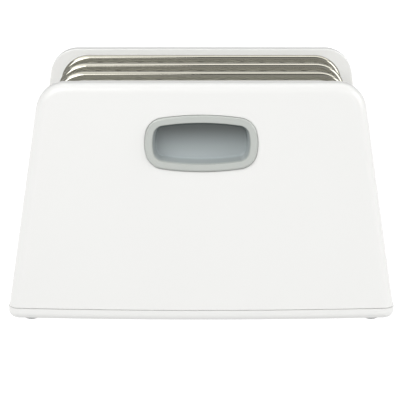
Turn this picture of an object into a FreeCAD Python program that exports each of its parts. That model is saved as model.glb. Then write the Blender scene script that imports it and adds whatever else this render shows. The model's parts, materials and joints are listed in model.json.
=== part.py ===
import FreeCAD, Part
import math
import os

import Sketcher

# Four-slot toast rack. Millimetres. X runs along the slots, Y from front (-) to rear (+), Z up.
# The rack stands on the floor plane Z = 0 with its middle over the origin.

os.makedirs("parts", exist_ok=True)
doc = FreeCAD.newDocument("toast_rack")
sheet = doc.addObject("Spreadsheet::Sheet", "dims")

DIMENSIONS = [
    # end panels
    ("panel_top", 122.0, "level of the top of the panels"),
    ("panel_half_top", 80.6, "half width of a panel at its top, before rounding"),
    ("panel_half_low", 98.2, "half width of a panel at its lower edge"),
    ("panel_corner", 15.0, "radius of the top corners"),
    ("panel_rim", 5.0, "radius of the outer rim"),
    ("panel_wall", 2.4, "wall of the shell"),
    ("panel_low", 7.1, "level of the shell's lower edge"),
    ("inner_face", 41.5, "distance of the inner faces from the middle"),
    ("liner_wall", 1.8, "thickness of the liner"),
    ("depth_top", 7.4, "depth of the shell at its top"),
    ("depth_low", 13.4, "depth of the shell at its lower edge, at the sides"),
    ("bow_top", 0.4, "how far the outer face bulges at the top"),
    ("bow_low", 3.6, "how far the outer face bulges at the lower edge"),
    ("lip_gap", 0.2, "gap between liner lip and shell"),
    ("lip_wall", 1.2, "thickness of the liner lip"),
    ("lip_depth", 3.0, "how far the lip reaches into the shell"),
    ("lip_low", 27.0, "level of the lower run of the lip"),
    # base
    ("base_low", 1.0, "level of the underside of the base"),
    ("base_rim", 6.8, "level of the top of the base rim"),
    ("base_floor", 2.4, "floor and wall thickness of the base"),
    ("base_half", 98.6, "half length of the base"),
    ("base_side", 57.1, "half depth of the base at its ends"),
    ("base_corner", 6.0, "radius of the base corners in plan"),
    ("base_edge", 3.5, "radius of the lower edge of the base"),
    # deck
    ("deck_top", 21.0, "level of the deck"),
    ("deck_wall", 2.4, "wall of the deck"),
    ("deck_half_low", 97.0, "half length of the deck at its lower edge"),
    ("deck_half_top", 94.8, "half length of the deck at its top"),
    ("deck_side", 41.3, "half width of the deck"),
    ("slot_wide", 3.0, "width of a crumb slot"),
    ("slot_near", 3.5, "inner end of a crumb slot"),
    ("slot_far", 30.5, "outer end of a crumb slot"),
    ("slot_pitch", 12.0, "pitch of the crumb slots"),
    ("slot_count", 13, "number of crumb slots in a row"),
    # crumb tray
    ("tray_back", 91.0, "distance of the tray's closed end from the middle"),
    ("tray_front", 92.5, "start of the tray's front plate"),
    ("tray_plate", 2.4, "thickness of the front plate"),
    ("tray_side", 33.0, "half width of the tray"),
    ("tray_plate_side", 38.5, "half width of the front plate"),
    ("tray_low", 6.9, "level of the underside of the tray"),
    ("tray_rim", 13.2, "level of the tray rim"),
    ("tray_plate_top", 18.2, "level of the top of the front plate"),
    ("tray_wall", 1.5, "wall of the tray"),
    ("thumb_radius", 9.0, "radius of the thumb notch"),
    # hoops
    ("rod", 4.5, "diameter of the hoop rod"),
    ("hoop_pitch", 22.0, "distance between hoops"),
    ("hoop_level", 120.25, "level of the middle of the top run"),
    ("hoop_half_top", 71.35, "half width of the hoop at its top, before rounding"),
    ("hoop_half_low", 85.1, "half distance between the two legs where they enter the deck"),
    ("hoop_kink", 30.0, "level where the legs turn upright"),
    ("hoop_corner", 13.0, "radius of the top bends"),
    ("hoop_kink_radius", 30.0, "radius of the low bends"),
    ("thread", 4.0, "diameter of the threaded end"),
    ("thread_end", 14.0, "level of the lower end of the thread"),
    ("thread_hole", 4.3, "clearance hole for the thread"),
    ("collar_wide", 10.0, "diameter of the collar on the deck"),
    ("collar_tall", 2.0, "height of the collar"),
    ("washer_wide", 9.0, "diameter of the washer"),
    ("washer_tall", 0.8, "thickness of the washer"),
    ("nut_flats", 7.0, "width of the nut across its flats"),
    ("nut_tall", 3.2, "height of the nut"),
    # finger grip
    ("grip_level", 92.6, "level of the middle of the grip"),
    ("grip_half_wide", 28.2, "half width of the grip ring"),
    ("grip_half_tall", 14.2, "half height of the grip ring"),
    ("grip_long_arc", 136.0, "radius of the ring's long sides"),
    ("grip_short_arc", 25.6, "radius of the ring's short sides"),
    ("grip_corner", 9.2, "corner radius of the ring"),
    ("grip_proud", 1.3, "how far the ring stands out of the panel"),
    ("grip_seat", 0.8, "depth of the rebate that the ring sits in"),
    ("grip_seat_gap", 0.3, "gap round the ring in its rebate"),
    ("grip_ring", 3.6, "width of the ring"),
    ("grip_wall", 1.2, "wall of the cup"),
    ("grip_depth", 7.8, "depth of the cup's floor behind the panel face"),
    ("grip_draft", 11.0, "draft of the cup wall in degrees"),
    ("grip_fold", 1.2, "radius where the cup's wall meets its floor"),
    ("grip_gap", 0.3, "gap between cup and panel window"),
    ("grip_edge", 1.25, "radius of the ring's outer edge"),
    ("grip_lip", 0.6, "radius of the ring's inner edge"),
    # screws and feet
    ("screw_shank", 2.9, "diameter of a screw"),
    ("screw_pilot", 3.0, "diameter of a screw boss bore"),
    ("screw_pass", 3.2, "diameter of a clearance hole"),
    ("screw_head", 5.4, "diameter of a screw head"),
    ("screw_head_tall", 1.8, "height of a screw head"),
    ("screw_sink", 5.8, "diameter of a counterbore"),
    ("screw_reach", 16.0, "level of the screw tips"),
    ("boss_top", 22.0, "level of the top of the panel bosses"),
    ("panel_screw_x", 60.0, "distance of the outer panel screws from the middle"),
    ("panel_screw_y", 49.5, "distance of the panel screws from the middle"),
    ("deck_screw_x", 75.0, "distance of the deck screws from the middle, lengthways"),
    ("deck_screw_y", 37.6, "distance of the deck screws from the middle, sideways"),
    ("foot_wide", 10.0, "diameter of a foot"),
    ("foot_stem", 4.0, "diameter of the foot's stem"),
    ("foot_stem_tall", 1.5, "height of the foot's stem"),
    ("foot_x", 87.0, "distance of the feet from the middle, lengthways"),
    ("foot_y", 49.0, "distance of the feet from the middle, sideways"),
]
for row, (name, value, note) in enumerate(DIMENSIONS, start=1):
    sheet.set("A%d" % row, name)
    sheet.set("B%d" % row, str(value))
    sheet.set("C%d" % row, note)
    sheet.setAlias("B%d" % row, name)
doc.recompute()


def size(text):
    """The present value of an expression in the sheet's names."""
    result = sheet.evalExpression(text)
    return float(getattr(result, "Value", result))


def bound(text):
    """The same expression as other objects have to write it."""
    words = []
    word = ""
    names = {entry[0] for entry in DIMENSIONS}
    for letter in text + " ":
        if letter.isalnum() or letter == "_":
            word += letter
            continue
        words.append("dims." + word if word in names else word)
        words.append(letter)
        word = ""
    return "".join(words).strip()


def bind(thing, **sizes):
    for prop, text in sizes.items():
        thing.setExpression(prop, bound(text))


# ---------------------------------------------------------------- sketches

def new_sketch(body, name, plane="XY_Plane", level="0"):
    """A sketch on one of the body's own planes, moved along the plane's normal by level."""
    sketch = body.newObject("Sketcher::SketchObject", name)
    support = [f for f in body.Origin.OriginFeatures if f.Role == plane][0]
    sketch.AttachmentSupport = [(support, "")]
    sketch.MapMode = "FlatFace"
    sketch.setExpression(".AttachmentOffset.Base.z", bound(level))
    return sketch


def pin(sketch, geometry, point, across, up):
    """Tie a point to the sheet by its two distances from the sketch origin."""
    for kind, text in (("DistanceX", across), ("DistanceY", up)):
        place = sketch.addConstraint(Sketcher.Constraint(kind, -1, 1, geometry, point, size(text)))
        sketch.setExpression("Constraints[%d]" % place, bound(text))


def add_circle(sketch, across, up, diameter):
    centre = FreeCAD.Vector(size(across), size(up), 0)
    up_axis = FreeCAD.Vector(0, 0, 1)
    ring = sketch.addGeometry(Part.Circle(centre, up_axis, size(diameter) / 2))
    pin(sketch, ring, 3, across, up)
    place = sketch.addConstraint(Sketcher.Constraint("Diameter", ring, size(diameter)))
    sketch.setExpression("Constraints[%d]" % place, bound(diameter))


def add_run(sketch, corners, closed=True):
    """Straight runs through the corners. A corner is (across, up) or (across, up, radius)."""
    points = [FreeCAD.Vector(size(c[0]), size(c[1]), 0) for c in corners]
    radii = [size(c[2]) if len(c) > 2 else 0.0 for c in corners]
    count = len(points)
    enter = []
    leave = []
    for i in range(count):
        open_end = not closed and i in (0, count - 1)
        if open_end or radii[i] == 0.0:
            enter.append(points[i])
            leave.append(points[i])
            continue
        back = (points[i - 1] - points[i]).normalize()
        ahead = (points[(i + 1) % count] - points[i]).normalize()
        half_angle = back.getAngle(ahead) / 2
        reach = radii[i] / math.tan(half_angle)
        enter.append(points[i] + back * reach)
        leave.append(points[i] + ahead * reach)
    run_count = count if closed else count - 1
    lines = []
    for i in range(run_count):
        lines.append(sketch.addGeometry(Part.LineSegment(leave[i], enter[(i + 1) % count])))
    for i in range(count):
        across, up = corners[i][0], corners[i][1]
        if not closed and i == 0:
            pin(sketch, lines[0], 1, across, up)
            continue
        if not closed and i == count - 1:
            pin(sketch, lines[-1], 2, across, up)
            continue
        before, after = lines[i - 1], lines[i]
        if radii[i] == 0.0:
            sketch.addConstraint(Sketcher.Constraint("Coincident", before, 2, after, 1))
            pin(sketch, after, 1, across, up)
            continue
        back = (enter[i] - points[i]).normalize()
        ahead = (leave[i] - points[i]).normalize()
        middle = (back + ahead).normalize()
        half_angle = back.getAngle(ahead) / 2
        near = points[i] + middle * (radii[i] / math.sin(half_angle) - radii[i])
        arc = sketch.addGeometry(Part.Arc(enter[i], near, leave[i]))
        start = sketch.getPoint(arc, 1)
        first, last = (1, 2) if (start - enter[i]).Length < 1e-6 else (2, 1)
        sketch.addConstraint(Sketcher.Constraint("Tangent", before, 2, arc, first))
        sketch.addConstraint(Sketcher.Constraint("Tangent", arc, last, after, 1))
        place = sketch.addConstraint(Sketcher.Constraint("Radius", arc, radii[i]))
        sketch.setExpression("Constraints[%d]" % place, bound(corners[i][2]))
        peak = sketch.addGeometry(Part.Point(points[i]), True)
        sketch.addConstraint(Sketcher.Constraint("PointOnObject", peak, 1, before))
        sketch.addConstraint(Sketcher.Constraint("PointOnObject", peak, 1, after))
        pin(sketch, peak, 1, across, up)


def add_box(sketch, left, right, low, high):
    add_run(sketch, [(left, low), (right, low), (right, high), (left, high)])


def add_bowed(sketch, half, near, far, bow, both=False, inward=False):
    """A rectangle from near to far whose far side bulges by bow, or both sides do."""
    radius = "((%s)^2+(%s)^2)/(2*(%s))" % (half, bow, bow)
    corners = [(half, near), (half, far), ("-(%s)" % half, far), ("-(%s)" % half, near)]
    points = [FreeCAD.Vector(size(c[0]), size(c[1]), 0) for c in corners]
    way = FreeCAD.Vector(0, math.copysign(size(bow), size(far) - size(near)), 0)
    if inward:
        way = way * -1
    runs = []
    for i in range(4):
        start, end = points[i], points[(i + 1) % 4]
        middle = (start + end) * 0.5
        if i == 1:
            runs.append(sketch.addGeometry(Part.Arc(start, middle + way, end)))
        elif i == 3 and both:
            runs.append(sketch.addGeometry(Part.Arc(start, middle - way, end)))
        else:
            runs.append(sketch.addGeometry(Part.LineSegment(start, end)))
    ends = []
    for i in range(4):
        start = sketch.getPoint(runs[i], 1)
        ends.append((1, 2) if (start - points[i]).Length < 1e-6 else (2, 1))
    for i in range(4):
        after = (i + 1) % 4
        sketch.addConstraint(
            Sketcher.Constraint("Coincident", runs[i], ends[i][1], runs[after], ends[after][0])
        )
    pin(sketch, runs[0], 1, corners[0][0], corners[0][1])
    pin(sketch, runs[0], 2, corners[1][0], corners[1][1])
    pin(sketch, runs[2], 1, corners[2][0], corners[2][1])
    pin(sketch, runs[2], 2, corners[3][0], corners[3][1])
    for i in (1, 3) if both else (1,):
        place = sketch.addConstraint(Sketcher.Constraint("Radius", runs[i], size(radius)))
        sketch.setExpression("Constraints[%d]" % place, bound(radius))


def add_pillow(sketch, inset):
    """The grip's outline, smaller by inset all round: four shallow arcs joined by corner arcs."""
    wide = "(grip_half_wide-(%s))" % inset
    tall = "(grip_half_tall-(%s))" % inset
    long_arc = "(grip_long_arc-(%s))" % inset
    short_arc = "(grip_short_arc-(%s))" % inset
    corner = "(grip_corner-(%s))" % inset
    long_centre = size(tall) - size(long_arc)
    short_centre = size(wide) - size(short_arc)
    reach_long = size(long_arc) - size(corner)
    reach_short = size(short_arc) - size(corner)
    # a corner circle touches both side arcs from inside
    start = FreeCAD.Vector(0, long_centre, 0)
    end = FreeCAD.Vector(short_centre, 0, 0)
    apart = (end - start).Length
    along = (reach_long ** 2 - reach_short ** 2 + apart ** 2) / (2 * apart)
    aside = math.sqrt(reach_long ** 2 - along ** 2)
    way = (end - start).normalize()
    options = [start + way * along + FreeCAD.Vector(-way.y, way.x, 0) * (k * aside) for k in (1, -1)]
    middle = max(options, key=lambda point: point.x + point.y)
    on_long = middle + (middle - start).normalize() * size(corner)
    on_short = middle + (middle - end).normalize() * size(corner)
    on_corner = middle + ((on_long + on_short) * 0.5 - middle).normalize() * size(corner)

    def flip(point, x, y):
        return FreeCAD.Vector(point.x * x, point.y * y, 0)

    tops = {1: FreeCAD.Vector(0, size(tall), 0), -1: FreeCAD.Vector(0, -size(tall), 0)}
    ends = {1: FreeCAD.Vector(size(wide), 0, 0), -1: FreeCAD.Vector(-size(wide), 0, 0)}
    arcs = [  # anticlockwise from the right-hand end
        (flip(on_short, 1, -1), ends[1], flip(on_short, 1, 1), short_arc),
        (flip(on_short, 1, 1), flip(on_corner, 1, 1), flip(on_long, 1, 1), corner),
        (flip(on_long, 1, 1), tops[1], flip(on_long, -1, 1), long_arc),
        (flip(on_long, -1, 1), flip(on_corner, -1, 1), flip(on_short, -1, 1), corner),
        (flip(on_short, -1, 1), ends[-1], flip(on_short, -1, -1), short_arc),
        (flip(on_short, -1, -1), flip(on_corner, -1, -1), flip(on_long, -1, -1), corner),
        (flip(on_long, -1, -1), tops[-1], flip(on_long, 1, -1), long_arc),
        (flip(on_long, 1, -1), flip(on_corner, 1, -1), flip(on_short, 1, -1), corner),
    ]
    drawn = [sketch.addGeometry(Part.Arc(a, b, c)) for a, b, c, _ in arcs]
    for i, arc in enumerate(drawn):
        sketch.addConstraint(Sketcher.Constraint("Tangent", arc, 2, drawn[(i + 1) % 8], 1))
        place_no = sketch.addConstraint(Sketcher.Constraint("Radius", arc, size(arcs[i][3])))
        sketch.setExpression("Constraints[%d]" % place_no, bound(arcs[i][3]))
    for i, across, up in ((0, "%s-%s" % (wide, short_arc), "0"), (2, "0", "%s-%s" % (tall, long_arc)),
                          (4, "%s-%s" % (short_arc, wide), "0"), (6, "0", "%s-%s" % (long_arc, tall))):
        pin(sketch, drawn[i], 3, across, up)


# ---------------------------------------------------------------- features

def new_body(label):
    body = doc.addObject("PartDesign::Body", label)
    body.Label = label
    return body


def pad(body, sketch, length, reverse=False, midplane=False, taper=None):
    feature = body.newObject("PartDesign::Pad", sketch.Name + "_pad")
    feature.Profile = sketch
    feature.Reversed = reverse
    feature.Midplane = midplane
    bind(feature, Length=length)
    if taper:
        bind(feature, TaperAngle=taper)
    doc.recompute()
    return feature


def pocket(body, sketch, length, reverse=False, midplane=False, taper=None):
    before = body.Shape.Volume
    feature = body.newObject("PartDesign::Pocket", sketch.Name + "_cut")
    feature.Profile = sketch
    feature.Reversed = reverse
    feature.Midplane = midplane
    bind(feature, Length=length)
    if taper:
        bind(feature, TaperAngle=taper)
    doc.recompute()
    if body.Shape.Volume > before - 0.5:
        raise RuntimeError("%s removes nothing" % feature.Name)
    return feature


def edges_where(feature, test):
    return ["Edge%d" % (i + 1) for i, edge in enumerate(feature.Shape.Edges) if test(edge)]


def faces_where(feature, test):
    return ["Face%d" % (i + 1) for i, face in enumerate(feature.Shape.Faces) if test(face)]


def round_edges(body, name, radius, test, kind="Fillet"):
    base = body.Tip
    names = edges_where(base, test)
    if not names:
        raise RuntimeError("%s finds no edges" % name)
    feature = body.newObject("PartDesign::" + kind, name)
    feature.Base = (base, names)
    bind(feature, **{"Radius" if kind == "Fillet" else "Size": radius})
    doc.recompute()
    return feature


def place(thing, x="0", y="0", z="0", turn=0.0, axis=(0, 0, 1)):
    """Put a finished piece in the rack; its position follows the sheet."""
    rotation = FreeCAD.Rotation(FreeCAD.Vector(*axis), turn)
    thing.Placement = FreeCAD.Placement(FreeCAD.Vector(size(x), size(y), size(z)), rotation)
    for letter, text in (("x", x), ("y", y), ("z", z)):
        thing.setExpression(".Placement.Base.%s" % letter, bound(text))


# ---------------------------------------------------------------- end panels

FRONT = {"sign": "-", "turn": 0.0}
REAR = {"sign": "", "turn": 180.0}

# slope of the outer face on the centre line, and its distance from the split plane at grip level
LOW_DEPTH = "(depth_low+bow_low)"
TOP_DEPTH = "(depth_top+bow_top)"
FACE_FALL = "((%s-%s)/(panel_top-panel_low))" % (LOW_DEPTH, TOP_DEPTH)
GRIP_FACE = "(%s+%s*(panel_top-grip_level))" % (TOP_DEPTH, FACE_FALL)
lean = math.degrees(math.atan(size(FACE_FALL)))


def face_sketch(body, name):
    """A sketch on the panel's leaning outer face, its origin in the middle of the grip."""
    sketch = new_sketch(body, name, plane="XZ_Plane", level=GRIP_FACE)
    tilt = FreeCAD.Rotation(FreeCAD.Vector(-1, 0, 0), lean)
    sketch.AttachmentOffset = FreeCAD.Placement(FreeCAD.Vector(0, size("grip_level"), 0), tilt)
    sketch.setExpression(".AttachmentOffset.Base.y", bound("grip_level"))
    sketch.setExpression(".AttachmentOffset.Rotation.Angle", bound("atan(%s)" % FACE_FALL))
    return sketch


SIDE_SLOPE = "((panel_half_low-panel_half_top)/(panel_top-panel_low))"


def add_panel(sketch, low, inset="0"):
    """The panel's outline from the level low upwards, smaller by inset at the sides and the top."""
    half = "(panel_half_top+(panel_top-(%s))*%s-1.012*(%s))"
    low_half = half % (low, SIDE_SLOPE, inset)
    top = "(panel_top-(%s))" % inset
    top_half = half % (top, SIDE_SLOPE, inset)
    low_round = ("5-%s+panel_wall" % inset,) if inset != "0" else ()
    add_run(sketch, [
        ("-" + low_half, low) + low_round,
        (low_half, low) + low_round,
        (top_half, top, "panel_corner-%s" % inset),
        ("-" + top_half, top, "panel_corner-%s" % inset),
    ])


def make_shell(side, label):
    """Outer half of a panel. Its split plane is Y = 0 and it reaches towards -Y."""
    body = new_body(label)
    outline = new_sketch(body, label + "_outline", plane="XZ_Plane")
    add_panel(outline, "panel_low")
    pad(body, outline, "depth_low+bow_low+4")

    # the outer face is trimmed by a loft that lies outside it and overruns both ends
    sections = []
    for name, run in (("_below", "-3/(panel_top-panel_low)"), ("_above", "1+3/(panel_top-panel_low)")):
        level = "(panel_low+(%s)*(panel_top-panel_low))" % run
        depth = "(depth_low-(%s)*(depth_low-depth_top))" % run
        bow = "(bow_low-(%s)*(bow_low-bow_top))" % run
        section = new_sketch(body, label + name, level=level)
        # the arc is wider than the panel, so it starts further in and bulges more
        edge = "-(%s-0.143*%s)" % (depth, bow)
        add_bowed(section, "105", "-40", edge, "1.143*" + bow, inward=True)
        sections.append(section)
    doc.recompute()
    trim = body.newObject("PartDesign::SubtractiveLoft", label + "_trim")
    trim.Profile = sections[0]
    trim.Sections = [(sections[1], [""])]
    trim.Ruled = True
    doc.recompute()

    def is_outer_rim(edge):
        box = edge.BoundBox
        return box.YMax < -size("depth_top") + 0.2 and box.ZMax > size("panel_low") + 0.5

    round_edges(body, label + "_rim", "panel_rim", is_outer_rim)

    hollow = body.newObject("PartDesign::Thickness", label + "_hollow")
    base = [f for f in body.Group if f.Name == label + "_rim"][0]

    def is_open(face):
        box = face.BoundBox
        return box.YLength < 0.01 or (box.ZLength < 0.01 and box.ZMax < size("panel_low") + 0.1)

    hollow.Base = (base, faces_where(base, is_open))
    hollow.Reversed = True
    bind(hollow, Value="panel_wall")
    doc.recompute()

    posts = new_sketch(body, label + "_posts", level="base_rim")
    middle_y = "-(panel_screw_y-inner_face-liner_wall)"
    near = middle_y + "+4"
    for x, reach in (("-panel_screw_x", "0.6"), ("0", "2.2"), ("panel_screw_x", "0.6")):
        far = "-(depth_low+%s)" % reach
        add_box(posts, x + "-4", x + "+4", far, near)
    pad(body, posts, "boss_top-base_rim")
    bores = new_sketch(body, label + "_bores", level="base_rim")
    for x in ("-panel_screw_x", "0", "panel_screw_x"):
        add_circle(bores, x, middle_y, "screw_pilot")
    pocket(body, bores, "screw_reach-base_rim+1", reverse=True)

    window = face_sketch(body, label + "_window")
    add_pillow(window, "grip_ring-grip_wall-grip_gap")
    pocket(body, window, "6")
    rebate = face_sketch(body, label + "_rebate")
    add_pillow(rebate, "-grip_seat_gap")
    pocket(body, rebate, "grip_seat")
    place(body, y=side["sign"] + "(inner_face+liner_wall)", turn=side["turn"])
    return body


def make_liner(side, label):
    """Inner wall of a panel. Its visible face is Y = 0 and its lip reaches into the shell."""
    body = new_body(label)
    plate = new_sketch(body, label + "_outline", plane="XZ_Plane")
    add_panel(plate, "base_rim")
    pad(body, plate, "liner_wall")

    lip = new_sketch(body, label + "_lip", plane="XZ_Plane", level="liner_wall")
    for inset in ("(panel_wall+lip_gap)", "(panel_wall+lip_gap+lip_wall)"):
        add_panel(lip, "(lip_low+%s)" % inset, inset)
    pad(body, lip, "lip_depth")

    def is_inner_edge(edge):
        box = edge.BoundBox
        return box.YLength < 0.01 and box.YMax > -0.01 and box.ZMax > size("base_rim") + 1

    round_edges(body, label + "_soft_edge", "0.7", is_inner_edge)
    place(body, y=side["sign"] + "inner_face", turn=side["turn"])
    return body


def make_grip(side, label):
    """Finger grip: a ring on the panel face (Z = 0 here) with a cup that reaches to -Z."""
    body = new_body(label)
    ring = new_sketch(body, label + "_ring", level="-grip_seat")
    add_pillow(ring, "0")
    pad(body, ring, "grip_seat+grip_proud")
    cup = new_sketch(body, label + "_cup")
    add_pillow(cup, "grip_ring-grip_wall")
    pad(body, cup, "grip_depth+grip_wall", reverse=True)
    opening = new_sketch(body, label + "_opening", level="grip_proud")
    add_pillow(opening, "grip_ring")
    pocket(body, opening, "grip_proud+grip_depth", taper="-grip_draft")

    def is_cup_floor(edge):
        box = edge.BoundBox
        return box.ZLength < 0.01 and abs(box.ZMin + size("grip_depth")) < 0.05

    round_edges(body, label + "_floor", "grip_fold", is_cup_floor)

    def is_on_crown(edge):
        box = edge.BoundBox
        return box.ZLength < 0.01 and box.ZMax > size("grip_proud") - 0.01

    def is_outer_edge(edge):
        box = edge.BoundBox
        return is_on_crown(edge) and max(box.XMax, -box.XMin) > size("grip_half_wide") - 1

    def is_inner_edge(edge):
        box = edge.BoundBox
        inside_x = max(box.XMax, -box.XMin) < size("grip_half_wide-grip_ring") + 0.1
        inside_y = max(box.YMax, -box.YMin) < size("grip_half_tall-grip_ring") + 0.1
        return is_on_crown(edge) and inside_x and inside_y

    round_edges(body, label + "_outer_edge", "grip_edge", is_outer_edge)
    round_edges(body, label + "_inner_edge", "grip_lip", is_inner_edge)

    hooks = new_sketch(body, label + "_hooks", level="-(panel_wall+0.4)")
    edge = "(grip_half_tall-grip_ring+grip_wall)"
    for x in ("-14", "14"):
        add_box(hooks, x + "-3", x + "+3", edge + "-1.9", edge + "+0.2")
        add_box(hooks, x + "-3", x + "+3", "-%s-0.2" % edge, "-%s+1.9" % edge)
    pad(body, hooks, "1.6", reverse=True)
    outward = "(inner_face+liner_wall+%s)" % GRIP_FACE
    place(body, y=side["sign"] + outward, z="grip_level")
    tilt = FreeCAD.Rotation(FreeCAD.Vector(1, 0, 0), 90.0 - lean)
    turn = FreeCAD.Rotation(FreeCAD.Vector(0, 0, 1), side["turn"])
    body.Placement = FreeCAD.Placement(body.Placement.Base, turn.multiply(tilt))
    return body


# ---------------------------------------------------------------- base

def make_base():
    body = new_body("base_shell")
    plan = new_sketch(body, "base_plan", level="base_low")
    add_bowed(plan, "base_half", "base_side", "-base_side", "bow_low", both=True)
    pad(body, plan, "base_rim-base_low")

    def is_upright(edge):
        box = edge.BoundBox
        return box.XLength < 0.01 and box.YLength < 0.01

    round_edges(body, "base_corners", "base_corner", is_upright)

    def is_low_edge(edge):
        return edge.BoundBox.ZMax < size("base_low") + 0.01

    round_edges(body, "base_soft_edge", "base_edge", is_low_edge)

    room = new_sketch(body, "base_room", level="base_rim")
    inset_half = "base_half-base_floor"
    inset_side = "base_side-base_floor"
    add_bowed(room, inset_half, inset_side, "-(%s)" % inset_side, "bow_low", both=True)
    pocket(body, room, "base_rim-base_low-base_floor")

    rails = new_sketch(body, "base_rails", level="base_low+base_floor")
    for sign in ("-", ""):
        inner, outer = ("-44.6", "-33.3") if sign else ("33.3", "44.6")
        add_box(rails, "-94", "92", inner, outer)
        inner, outer = ("-14", "-11") if sign else ("11", "14")
        add_box(rails, "-90", "92", inner, outer)
        for x in ("-panel_screw_x", "0", "panel_screw_x"):
            y = "%spanel_screw_y" % sign
            add_box(rails, x + "-4.5", x + "+4.5", y + "-4.5", y + "+4.5")
    pad(body, rails, "base_rim-base_low-base_floor")

    guides = new_sketch(body, "base_guides", level="base_rim")
    add_box(guides, "-92", "92", "33.3", "34.5")
    add_box(guides, "-92", "92", "-34.5", "-33.3")
    pad(body, guides, "2.6")

    sinks = new_sketch(body, "base_sinks", level="base_low")
    passes = new_sketch(body, "base_passes", level="base_low")
    for sign in ("-", ""):
        for x in ("-panel_screw_x", "0", "panel_screw_x"):
            add_circle(sinks, x, sign + "panel_screw_y", "screw_sink")
            add_circle(passes, x, sign + "panel_screw_y", "screw_pass")
        for x in ("-deck_screw_x", "deck_screw_x"):
            add_circle(sinks, x, sign + "deck_screw_y", "screw_sink")
            add_circle(passes, x, sign + "deck_screw_y", "screw_pass")
    pocket(body, sinks, "base_floor", reverse=True)
    pocket(body, passes, "base_rim-base_low+0.1", reverse=True)

    stems = new_sketch(body, "base_stem_holes", level="base_low")
    for x in ("-foot_x", "foot_x"):
        for y in ("-foot_y", "foot_y"):
            add_circle(stems, x, y, "foot_stem+0.1")
    pocket(body, stems, "foot_stem_tall+0.1", reverse=True)
    return body


# ---------------------------------------------------------------- deck

def make_deck():
    body = new_body("deck")
    profile = new_sketch(body, "deck_profile", plane="XZ_Plane")
    add_run(profile, [
        ("-deck_half_low", "base_rim"),
        ("deck_half_low", "base_rim"),
        ("deck_half_top", "deck_top", "2.5"),
        ("-deck_half_top", "deck_top", "2.5"),
    ])
    pad(body, profile, "2*deck_side", midplane=True)

    room = new_sketch(body, "deck_room", level="base_rim")
    side = "(deck_side-deck_wall)"
    add_box(room, "-(tray_back+1.4)", "110", "-" + side, side)
    pocket(body, room, "deck_top-deck_wall-base_rim", reverse=True)

    bosses = new_sketch(body, "deck_bosses", level="base_rim")
    bores = new_sketch(body, "deck_bores", level="base_rim")
    for x in ("-deck_screw_x", "deck_screw_x"):
        for y in ("-deck_screw_y", "deck_screw_y"):
            add_circle(bosses, x, y, "6")
            add_circle(bores, x, y, "screw_pilot")
    pad(body, bosses, "deck_top-deck_wall-base_rim+0.4")
    pocket(body, bores, "screw_reach-base_rim+1", reverse=True)

    legs = new_sketch(body, "deck_leg_holes", level="deck_top")
    for x in ("-hoop_half_low", "hoop_half_low"):
        for y in ("-hoop_pitch", "0", "hoop_pitch"):
            add_circle(legs, x, y, "thread_hole")
    pocket(body, legs, "deck_wall+0.1")

    slots = new_sketch(body, "deck_first_slots", level="deck_top")
    left = "-slot_pitch*(slot_count-1)/2-slot_wide/2"
    right = "-slot_pitch*(slot_count-1)/2+slot_wide/2"
    for low, high in (("slot_near", "slot_far"), ("-slot_far", "-slot_near")):
        corners = [(left, low), (right, low), (right, high), (left, high)]
        add_run(slots, [(x, y, "slot_wide/2-0.1") for x, y in corners])
    cut = pocket(body, slots, "deck_wall+0.1")
    row = body.newObject("PartDesign::LinearPattern", "deck_slot_row")
    row.Originals = [cut]
    along = [f for f in body.Origin.OriginFeatures if f.Role == "X_Axis"][0]
    row.Direction = (along, [""])
    bind(row, Length="slot_pitch*(slot_count-1)", Occurrences="slot_count")
    body.Tip = row
    doc.recompute()
    return body


# ---------------------------------------------------------------- crumb tray

def make_tray():
    body = new_body("crumb_tray")
    pan = new_sketch(body, "tray_pan", level="tray_low")
    corners = [("-tray_back", "-tray_side", "4"), ("tray_front", "-tray_side")]
    corners += [("tray_front", "tray_side"), ("-tray_back", "tray_side", "4")]
    add_run(pan, corners)
    pad(body, pan, "tray_rim-tray_low")
    room = new_sketch(body, "tray_room", level="tray_rim")
    side = "(tray_side-tray_wall)"
    back = "-(tray_back-tray_wall)"
    front = "tray_front-2"
    corners = [(back, "-" + side, "2.5"), (front, "-" + side, "2.5")]
    corners += [(front, side, "2.5"), (back, side, "2.5")]
    add_run(room, corners)
    pocket(body, room, "tray_rim-tray_low-tray_wall")
    plate = new_sketch(body, "tray_face", level="tray_low")
    face_end = "tray_front+tray_plate"
    add_box(plate, "tray_front", face_end, "-tray_plate_side", "tray_plate_side")
    pad(body, plate, "tray_plate_top-tray_low")

    def is_face_edge(edge):
        box = edge.BoundBox
        return box.XMin > size(face_end) - 0.01 and box.XLength < 0.01

    round_edges(body, "tray_soft_face", "0.8", is_face_edge)
    notch = new_sketch(body, "tray_notch", plane="YZ_Plane", level="tray_front+0.5")
    add_circle(notch, "0", "tray_plate_top+2", "2*thumb_radius")
    pocket(body, notch, "tray_plate+2", reverse=True)
    return body


# ---------------------------------------------------------------- hoops and their fixings

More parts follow.
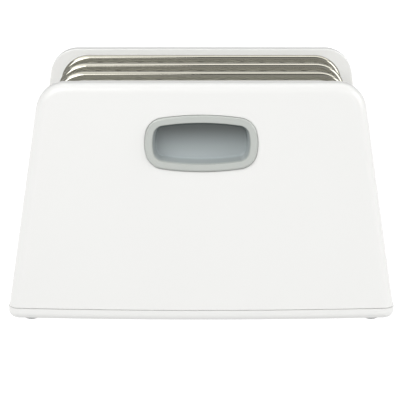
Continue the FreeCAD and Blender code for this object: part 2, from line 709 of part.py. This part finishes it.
def make_hoop(label, offset):
    body = new_body(label)
    path = new_sketch(body, label + "_path", plane="XZ_Plane")
    add_run(path, [
        ("-hoop_half_low", "deck_top"),
        ("-hoop_half_low", "hoop_kink", "hoop_kink_radius"),
        ("-hoop_half_top", "hoop_level", "hoop_corner"),
        ("hoop_half_top", "hoop_level", "hoop_corner"),
        ("hoop_half_low", "hoop_kink", "hoop_kink_radius"),
        ("hoop_half_low", "deck_top"),
    ], closed=False)
    section = new_sketch(body, label + "_section", level="deck_top")
    add_circle(section, "-hoop_half_low", "0", "rod")
    doc.recompute()
    rod = body.newObject("PartDesign::AdditivePipe", label + "_rod")
    rod.Profile = section
    rod.Spine = path
    doc.recompute()
    ends = new_sketch(body, label + "_ends", level="deck_top")
    add_circle(ends, "-hoop_half_low", "0", "thread")
    add_circle(ends, "hoop_half_low", "0", "thread")
    pad(body, ends, "deck_top-thread_end", reverse=True)

    def is_thread_end(edge):
        return edge.BoundBox.ZMax < size("thread_end") + 0.01

    round_edges(body, label + "_lead", "0.5", is_thread_end, kind="Chamfer")
    place(body, y=offset)
    return body


LEG_SPOTS = [(x, y) for x in ("-hoop_half_low", "hoop_half_low")
             for y in ("-hoop_pitch", "0", "hoop_pitch")]


def cylinder(label, x, y, z, diameter, tall):
    piece = doc.addObject("Part::Cylinder", label)
    bind(piece, Radius="(%s)/2" % diameter, Height=tall)
    place(piece, x, y, z)
    return piece


def cut(label, solid, tool):
    piece = doc.addObject("Part::Cut", label)
    piece.Base = solid
    piece.Tool = tool
    return piece


def group(label, pieces):
    """Separate identical solids that share one node."""
    whole = doc.addObject("Part::Compound", label)
    whole.Label = label
    whole.Links = pieces
    return whole


def make_collars():
    pieces = []
    for i, (x, y) in enumerate(LEG_SPOTS):
        outer = doc.addObject("Part::Cone", "collar_outer_%d" % i)
        bind(outer, Radius1="collar_wide/2", Radius2="collar_wide/2-1.2", Height="collar_tall")
        place(outer, x, y, "deck_top")
        bore = cylinder("collar_bore_%d" % i, x, y, "deck_top-1", "rod+0.1", "collar_tall+2")
        pieces.append(cut("collar_%d" % i, outer, bore))
    return group("hoop_grommets", pieces)


def make_washers():
    pieces = []
    level = "deck_top-deck_wall-washer_tall"
    for i, (x, y) in enumerate(LEG_SPOTS):
        outer = cylinder("washer_outer_%d" % i, x, y, level, "washer_wide", "washer_tall")
        bore = cylinder("washer_bore_%d" % i, x, y, level + "-1", "thread_hole", "washer_tall+2")
        pieces.append(cut("washer_%d" % i, outer, bore))
    return group("hoop_washers", pieces)


def make_nuts():
    pieces = []
    level = "deck_top-deck_wall-washer_tall-nut_tall"
    for i, (x, y) in enumerate(LEG_SPOTS):
        outer = doc.addObject("Part::Prism", "nut_outer_%d" % i)
        outer.Polygon = 6
        bind(outer, Circumradius="nut_flats/sqrt(3)", Height="nut_tall")
        place(outer, x, y, level)
        bore = cylinder("nut_bore_%d" % i, x, y, level + "-1", "thread+0.1", "nut_tall+2")
        pieces.append(cut("nut_%d" % i, outer, bore))
    return group("hoop_nuts", pieces)


def make_screws(label, spots):
    """Self-tapping screws driven up from under the base."""
    pieces = []
    head_level = "base_low+base_floor-screw_head_tall"
    for i, (x, y) in enumerate(spots):
        name = "%s_%d" % (label, i)
        head = cylinder(name + "_head", x, y, head_level, "screw_head", "screw_head_tall")
        length = "screw_reach-(%s)" % head_level
        shank = cylinder(name + "_shank", x, y, head_level, "screw_shank", length)
        whole = doc.addObject("Part::Fuse", name + "_whole")
        whole.Base = head
        whole.Tool = shank
        drive = cylinder(name + "_drive", x, y, head_level + "-1", "2.2", "2")
        pieces.append(cut(name, whole, drive))
    return group(label, pieces)


def make_foot(label, x, y):
    """Rubber foot with a stem that plugs into the base."""
    body = new_body(label)
    pad_sketch = new_sketch(body, label + "_disc")
    add_circle(pad_sketch, "0", "0", "foot_wide")
    pad(body, pad_sketch, "base_low")
    stem = new_sketch(body, label + "_stem", level="base_low")
    add_circle(stem, "0", "0", "foot_stem")
    pad(body, stem, "foot_stem_tall")

    def is_tread_edge(edge):
        return edge.BoundBox.ZMax < 0.01

    round_edges(body, label + "_tread", "0.6", is_tread_edge)
    place(body, x, y)
    return body


# ---------------------------------------------------------------- the rack

nodes = [make_base(), make_deck(), make_tray()]
nodes += [make_shell(FRONT, "front_shell"), make_liner(FRONT, "front_liner")]
nodes += [make_grip(FRONT, "front_grip")]
nodes += [make_shell(REAR, "rear_shell"), make_liner(REAR, "rear_liner")]
nodes += [make_grip(REAR, "rear_grip")]
nodes += [make_hoop("hoop_front", "-hoop_pitch"), make_hoop("hoop_middle", "0")]
nodes += [make_hoop("hoop_rear", "hoop_pitch")]
nodes += [make_collars(), make_washers(), make_nuts()]
PANEL_SPOTS = [(x, y) for x in ("-panel_screw_x", "0", "panel_screw_x")
               for y in ("-panel_screw_y", "panel_screw_y")]
DECK_SPOTS = [(x, y) for x in ("-deck_screw_x", "deck_screw_x")
              for y in ("-deck_screw_y", "deck_screw_y")]
nodes += [make_screws("base_screws", PANEL_SPOTS), make_screws("deck_screws", DECK_SPOTS)]
nodes += [make_foot("foot_front_left", "-foot_x", "-foot_y")]
nodes += [make_foot("foot_front_right", "foot_x", "-foot_y")]
nodes += [make_foot("foot_rear_left", "-foot_x", "foot_y")]
nodes += [make_foot("foot_rear_right", "foot_x", "foot_y")]
doc.recompute()

for thing in doc.Objects:
    if "Invalid" in thing.State or "Error" in thing.State:
        raise RuntimeError("%s did not build: %s" % (thing.Name, thing.State))
for node in nodes:
    shape = node.Shape
    if shape.isNull() or not shape.isValid() or shape.Volume < 1:
        raise RuntimeError("%s has no sound shape" % node.Label)
    shape.exportStep("parts/%s.step" % node.Label)
    box = shape.optimalBoundingBox(False, False)
    spans = (box.XMin, box.XMax, box.YMin, box.YMax, box.ZMin, box.ZMax)
    print("%-18s %d solid(s) %9.0f mm3 " % (node.Label, len(shape.Solids), shape.Volume),
          " ".join("%7.2f" % span for span in spans))
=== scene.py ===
import json
import math

import bpy
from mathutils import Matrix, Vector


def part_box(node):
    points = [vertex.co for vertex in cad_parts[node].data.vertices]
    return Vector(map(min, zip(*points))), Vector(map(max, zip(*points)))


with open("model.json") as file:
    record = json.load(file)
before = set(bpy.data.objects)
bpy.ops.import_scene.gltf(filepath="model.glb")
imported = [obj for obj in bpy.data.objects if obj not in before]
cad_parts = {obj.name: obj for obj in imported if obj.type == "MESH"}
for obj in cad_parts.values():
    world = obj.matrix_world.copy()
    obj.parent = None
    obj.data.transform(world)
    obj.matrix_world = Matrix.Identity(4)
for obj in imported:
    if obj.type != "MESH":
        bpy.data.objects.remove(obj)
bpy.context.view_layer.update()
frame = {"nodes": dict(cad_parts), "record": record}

MM = 0.001


# ---------------------------------------------------------------- shader helpers

def new_material(name):
    """A new material with its node tree and its shader."""
    material = bpy.data.materials.new(name)
    material.use_nodes = True
    tree = material.node_tree
    return material, tree, tree.nodes["Principled BSDF"]


def object_place(tree):
    """The place on the object in metres, which every pattern here follows."""
    return tree.nodes.new("ShaderNodeTexCoord").outputs["Object"]


def noise(tree, place, scale, detail=2.0, roughness=0.5):
    """A cloudy value near 0.5, with about scale clouds to a metre."""
    node = tree.nodes.new("ShaderNodeTexNoise")
    node.inputs["Scale"].default_value = scale
    node.inputs["Detail"].default_value = detail
    node.inputs["Roughness"].default_value = roughness
    tree.links.new(place, node.inputs["Vector"])
    return node.outputs["Fac"]


def span(tree, value, low, high, value_low=0.0, value_high=1.0):
    """A value between value_low and value_high, mapped to the range from low to high."""
    node = tree.nodes.new("ShaderNodeMapRange")
    node.inputs["From Min"].default_value = value_low
    node.inputs["From Max"].default_value = value_high
    node.inputs["To Min"].default_value = low
    node.inputs["To Max"].default_value = high
    tree.links.new(value, node.inputs["Value"])
    return node.outputs["Result"]


def ramp(tree, value, stops):
    """Colours by a value from 0 to 1."""
    node = tree.nodes.new("ShaderNodeValToRGB")
    band = node.color_ramp
    while len(band.elements) < len(stops):
        band.elements.new(0.5)
    for element, (place, colour) in zip(band.elements, stops):
        element.position = place
        element.color = (*colour, 1.0)
    tree.links.new(value, node.inputs["Fac"])
    return node.outputs["Color"]


def math_node(tree, operation, first, second=0.0):
    """Each input is a number or a socket."""
    node = tree.nodes.new("ShaderNodeMath")
    node.operation = operation
    for socket, value in zip(node.inputs, (first, second)):
        if isinstance(value, float):
            socket.default_value = value
        else:
            tree.links.new(value, socket)
    return node.outputs["Value"]


def multiply_colours(tree, first, second):
    node = tree.nodes.new("ShaderNodeVectorMath")
    node.operation = "MULTIPLY"
    tree.links.new(first, node.inputs[0])
    tree.links.new(second, node.inputs[1])
    return node.outputs["Vector"]


def mix_colours(tree, factor, first, second):
    """first where the factor is 0, second where it is 1. Each is a colour or a socket."""
    node = tree.nodes.new("ShaderNodeMix")
    node.data_type = "RGBA"
    tree.links.new(factor, node.inputs["Factor"])
    for socket, value in ((node.inputs["A"], first), (node.inputs["B"], second)):
        if isinstance(value, tuple):
            socket.default_value = (*value, 1.0)
        else:
            tree.links.new(value, socket)
    return node.outputs["Result"]


def uneven_gloss(tree, shader, cloud, rough, spread):
    """Roughness that varies either way by up to spread."""
    varied = span(tree, cloud, rough - spread, rough + spread)
    tree.links.new(varied, shader.inputs["Roughness"])


def bump(tree, shader, height, distance):
    node = tree.nodes.new("ShaderNodeBump")
    node.inputs["Strength"].default_value = 1.0
    node.inputs["Distance"].default_value = distance
    tree.links.new(height, node.inputs["Height"])
    tree.links.new(node.outputs["Normal"], shader.inputs["Normal"])


def orange_peel(tree, shader, place, grain, depth):
    """The fine skin of moulded plastic, with about grain bumps to a metre."""
    bump(tree, shader, noise(tree, place, grain, detail=3.0, roughness=0.55), depth)


# ---------------------------------------------------------------- materials

PLASTIC_IOR = 1.49
GRIP_IOR = 1.5


def plastic(name, colour, shade, rough, spread, grain, depth):
    """Moulded plastic or rubber: a faint cloudy change from shade to colour, and uneven gloss."""
    material, tree, shader = new_material(name)
    shader.inputs["IOR"].default_value = PLASTIC_IOR
    place = object_place(tree)
    cloud = noise(tree, place, scale=14.0)
    tree.links.new(ramp(tree, cloud, [(0.3, shade), (0.7, colour)]), shader.inputs["Base Color"])
    uneven_gloss(tree, shader, noise(tree, place, scale=60.0, detail=3.0), rough, spread)
    orange_peel(tree, shader, place, grain, depth)
    return material


# The panel's outer face at the middle of the grip: its distance from the rack's middle, and how
# much nearer it comes for each metre of height.
grip_low, grip_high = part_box("front_grip")
GRIP_LEVEL = (grip_low.z + grip_high.z) / 2
FACE_DISTANCE = 53.45 * MM
FACE_FALL = 0.0801

# Depths behind that face where the ring's own colour turns into the painted shade of the cup's
# wall, and that one into the painted shade of the cup's floor. The cup is painted darker as a
# recess in shade.
LIP_SHADE_DEPTHS = (-0.2 * MM, 1.4 * MM)
CUP_FLOOR_SHADE_DEPTHS = (5.4 * MM, 7.2 * MM)

# The lower and upper end of the cup's floor, from the middle of the grip, and the colours of its
# painted shade from the one to the other: darkest at the top, where the lip's shadow falls.
CUP_FLOOR_SHADE_HEIGHTS = (-9.0 * MM, 9.5 * MM)
CUP_FLOOR_SHADE_COLOURS = [(0.0, (0.48, 0.53, 0.54)), (0.38, (0.335, 0.375, 0.38)),
                     (0.78, (0.155, 0.177, 0.173)), (1.0, (0.095, 0.11, 0.105))]


def grip_plastic(name, ring, painted_wall_shade, rough, spread, grain, depth):
    """Grey plastic, with painted shade in the cup: wall and floor darker than the ring, darkest
    at the top of the floor, under the lip.
    """
    material, tree, shader = new_material(name)
    shader.inputs["IOR"].default_value = GRIP_IOR
    place = object_place(tree)
    parts = tree.nodes.new("ShaderNodeSeparateXYZ")
    tree.links.new(place, parts.inputs["Vector"])
    above = math_node(tree, "SUBTRACT", parts.outputs["Z"], GRIP_LEVEL)

    # the depth behind the leaning face, for the front grip and the rear grip alike
    outward = math_node(tree, "ABSOLUTE", parts.outputs["Y"])
    fall = math_node(tree, "MULTIPLY", above, FACE_FALL)
    behind = math_node(tree, "SUBTRACT", FACE_DISTANCE, math_node(tree, "ADD", outward, fall))

    past_lip_shade = span(tree, behind, 0.0, 1.0, *LIP_SHADE_DEPTHS)
    at_floor_shade = span(tree, behind, 0.0, 1.0, *CUP_FLOOR_SHADE_DEPTHS)
    up_floor_shade = span(tree, above, 0.0, 1.0, *CUP_FLOOR_SHADE_HEIGHTS)
    painted_floor_shade = ramp(tree, up_floor_shade, CUP_FLOOR_SHADE_COLOURS)
    # painted shade: the ring's own grey turns into the darker painted wall and floor of the cup
    painted_cup_shade = mix_colours(tree, at_floor_shade, mix_colours(tree, past_lip_shade, ring, painted_wall_shade), painted_floor_shade)
    cloud = noise(tree, place, scale=30.0)
    fading = ramp(tree, cloud, [(0.3, (0.97, 0.97, 0.97)), (0.7, (1.0, 1.0, 1.0))])
    tree.links.new(multiply_colours(tree, painted_cup_shade, fading), shader.inputs["Base Color"])
    uneven_gloss(tree, shader, noise(tree, place, scale=80.0, detail=3.0), rough, spread)
    orange_peel(tree, shader, place, grain, depth)
    return material


# The scale of the pattern along X, which draws it out into lines, and the shade of those lines.
DRAWN_SCALE = 0.03
DRAWN_SHADE = 0.93


def steel(name, colour, rough, spread, streak, depth):
    """Drawn steel: fine lines along X, the long way of the rods, and slightly uneven polish."""
    material, tree, shader = new_material(name)
    shader.inputs["Metallic"].default_value = 1.0
    place = object_place(tree)
    stretch = tree.nodes.new("ShaderNodeMapping")
    stretch.inputs["Scale"].default_value = (DRAWN_SCALE, 1.0, 1.0)
    tree.links.new(place, stretch.inputs["Vector"])
    lines = noise(tree, stretch.outputs["Vector"], streak, detail=3.0)
    darker = tuple(DRAWN_SHADE * channel for channel in colour)
    tree.links.new(ramp(tree, lines, [(0.35, darker), (0.65, colour)]),
                   shader.inputs["Base Color"])
    uneven_gloss(tree, shader, noise(tree, place, scale=90.0), rough, spread)
    bump(tree, shader, lines, depth)
    return material


# One for each material slot of the record. Bump depths are in metres.
MATERIALS = {
    "white_plastic": plastic(
        "white_gloss_plastic", colour=(0.93, 0.93, 0.912), shade=(0.92, 0.92, 0.902),
        rough=0.24, spread=0.03, grain=900.0, depth=0.006 * MM),
    "grip_plastic": grip_plastic(
        # ring is the grip's own grey; the wall colour is painted shade inside the cup
        "grey_gloss_plastic_painted_cup_shade", ring=(0.555, 0.58, 0.55), painted_wall_shade=(0.42, 0.455, 0.455),
        rough=0.08, spread=0.02, grain=1100.0, depth=0.006 * MM),
    "rod_steel": steel(
        "polished_steel_rod", colour=(0.47, 0.456, 0.39),
        rough=0.05, spread=0.01, streak=2500.0, depth=0.0003 * MM),
    "fixing_steel": steel(
        "zinc_plated_steel", colour=(0.58, 0.58, 0.56),
        rough=0.32, spread=0.06, streak=900.0, depth=0.01 * MM),
    "collar_rubber": plastic(
        "collar_silicone", colour=(0.74, 0.74, 0.72), shade=(0.70, 0.70, 0.68),
        rough=0.55, spread=0.05, grain=700.0, depth=0.02 * MM),
    "foot_rubber": plastic(
        "foot_rubber", colour=(0.10, 0.10, 0.10), shade=(0.07, 0.07, 0.07),
        rough=0.60, spread=0.06, grain=800.0, depth=0.03 * MM),
}

for part in frame["record"]["subparts"]:
    node = frame["nodes"][part["node"]]
    node.data.materials.clear()
    node.data.materials.append(MATERIALS[part["material_slot"]])


# ---------------------------------------------------------------- floor

# A floor that glows white for the camera and for mirror reflections, so that no shadow shows on
# it. It adds no light to the plastic and casts no shadow.
FLOOR_HALF = 12.0
floor_mesh = bpy.data.meshes.new("floor")
corners = [(-1, -1), (1, -1), (1, 1), (-1, 1)]
floor_mesh.from_pydata([(x * FLOOR_HALF, y * FLOOR_HALF, 0) for x, y in corners], [],
                       [(0, 1, 2, 3)])
floor = bpy.data.objects.new("floor", floor_mesh)
bpy.context.scene.collection.objects.link(floor)
floor_material, _, floor_shader = new_material("pale_floor")
floor_shader.inputs["Base Color"].default_value = (0.2, 0.2, 0.2, 1)
floor_shader.inputs["Roughness"].default_value = 1.0
floor_shader.inputs["Emission Color"].default_value = (1, 1, 1, 1)
floor_shader.inputs["Emission Strength"].default_value = 1.0
floor_mesh.materials.append(floor_material)
floor.visible_diffuse = False
floor.visible_shadow = False


# ---------------------------------------------------------------- studio

# Grey of the room by height, from -1 straight down to 1 straight up: a pale sweep below,
# mid-grey walls, and darkness overhead, where the lights are.
SWEEP = 0.70
WALLS = 0.47
ROOM_GREYS = [(-1.0, SWEEP), (-0.02, SWEEP), (0.02, WALLS), (0.74, WALLS), (0.84, 0.0)]

world = bpy.data.worlds.new("studio")
bpy.context.scene.world = world
world.use_nodes = True
tree = world.node_tree
way = tree.nodes.new("ShaderNodeSeparateXYZ")
tree.links.new(tree.nodes.new("ShaderNodeTexCoord").outputs["Generated"], way.inputs["Vector"])
upward = span(tree, way.outputs["Z"], 0.0, 1.0, -1.0, 1.0)
greys = [((height + 1) / 2, (grey,) * 3) for height, grey in ROOM_GREYS]
tree.links.new(ramp(tree, upward, greys), tree.nodes["Background"].inputs["Color"])
tree.nodes["Background"].inputs["Strength"].default_value = 1.0


def area_light(name, place, aim, wide, tall, power):
    """A rectangular light at place that faces aim, in metres and watts."""
    data = bpy.data.lights.new(name, "AREA")
    data.shape = "RECTANGLE"
    data.size = wide
    data.size_y = tall
    data.energy = power
    lamp = bpy.data.objects.new(name, data)
    bpy.context.scene.collection.objects.link(lamp)
    lamp.location = place
    x, y, z = (a - b for a, b in zip(aim, place))
    lamp.rotation_euler = (math.atan2(math.hypot(x, y), -z), 0, math.atan2(-x, y))
    return lamp


# the key stands in front on the left, and the fill lower down on the right
area_light("key_softbox", (-0.85, -1.15, 1.45), (0, 0, 0.08), wide=1.4, tall=1.4, power=23.0)
area_light("fill_softbox", (1.6, -0.45, 0.85), (0, 0, 0.06), wide=1.3, tall=1.3, power=14.4)

# A ceiling and a strip overhead, seen by mirror reflections only: they draw the bright lines
# along the polished rods.
overhead = [
    area_light("ceiling_panel", (0, 0.5, 1.6), (0, 0.5, 0), wide=3.0, tall=2.0, power=20.0),
    area_light("top_strip", (0, 0.2, 1.5), (0, 0.2, 0), wide=2.4, tall=0.4, power=4.5),
]
for lamp in overhead:
    lamp.visible_diffuse = False


# ---------------------------------------------------------------- camera

# Where the camera stands, in front of the rack, and how many degrees it looks down.
CAMERA_PLACE = (0.0, -0.875, 0.2989)
CAMERA_DOWN = 16.0

camera_data = bpy.data.cameras.new("camera")
camera_data.sensor_width = 36.0
camera_data.lens = 153.0
camera_data.shift_x = -0.00325
camera_data.clip_end = 100.0
camera = bpy.data.objects.new("camera", camera_data)
bpy.context.scene.collection.objects.link(camera)
camera.location = CAMERA_PLACE
camera.rotation_euler = (math.radians(90.0 - CAMERA_DOWN), 0, 0)
bpy.context.scene.camera = camera
bpy.context.scene.view_settings.view_transform = "Standard"
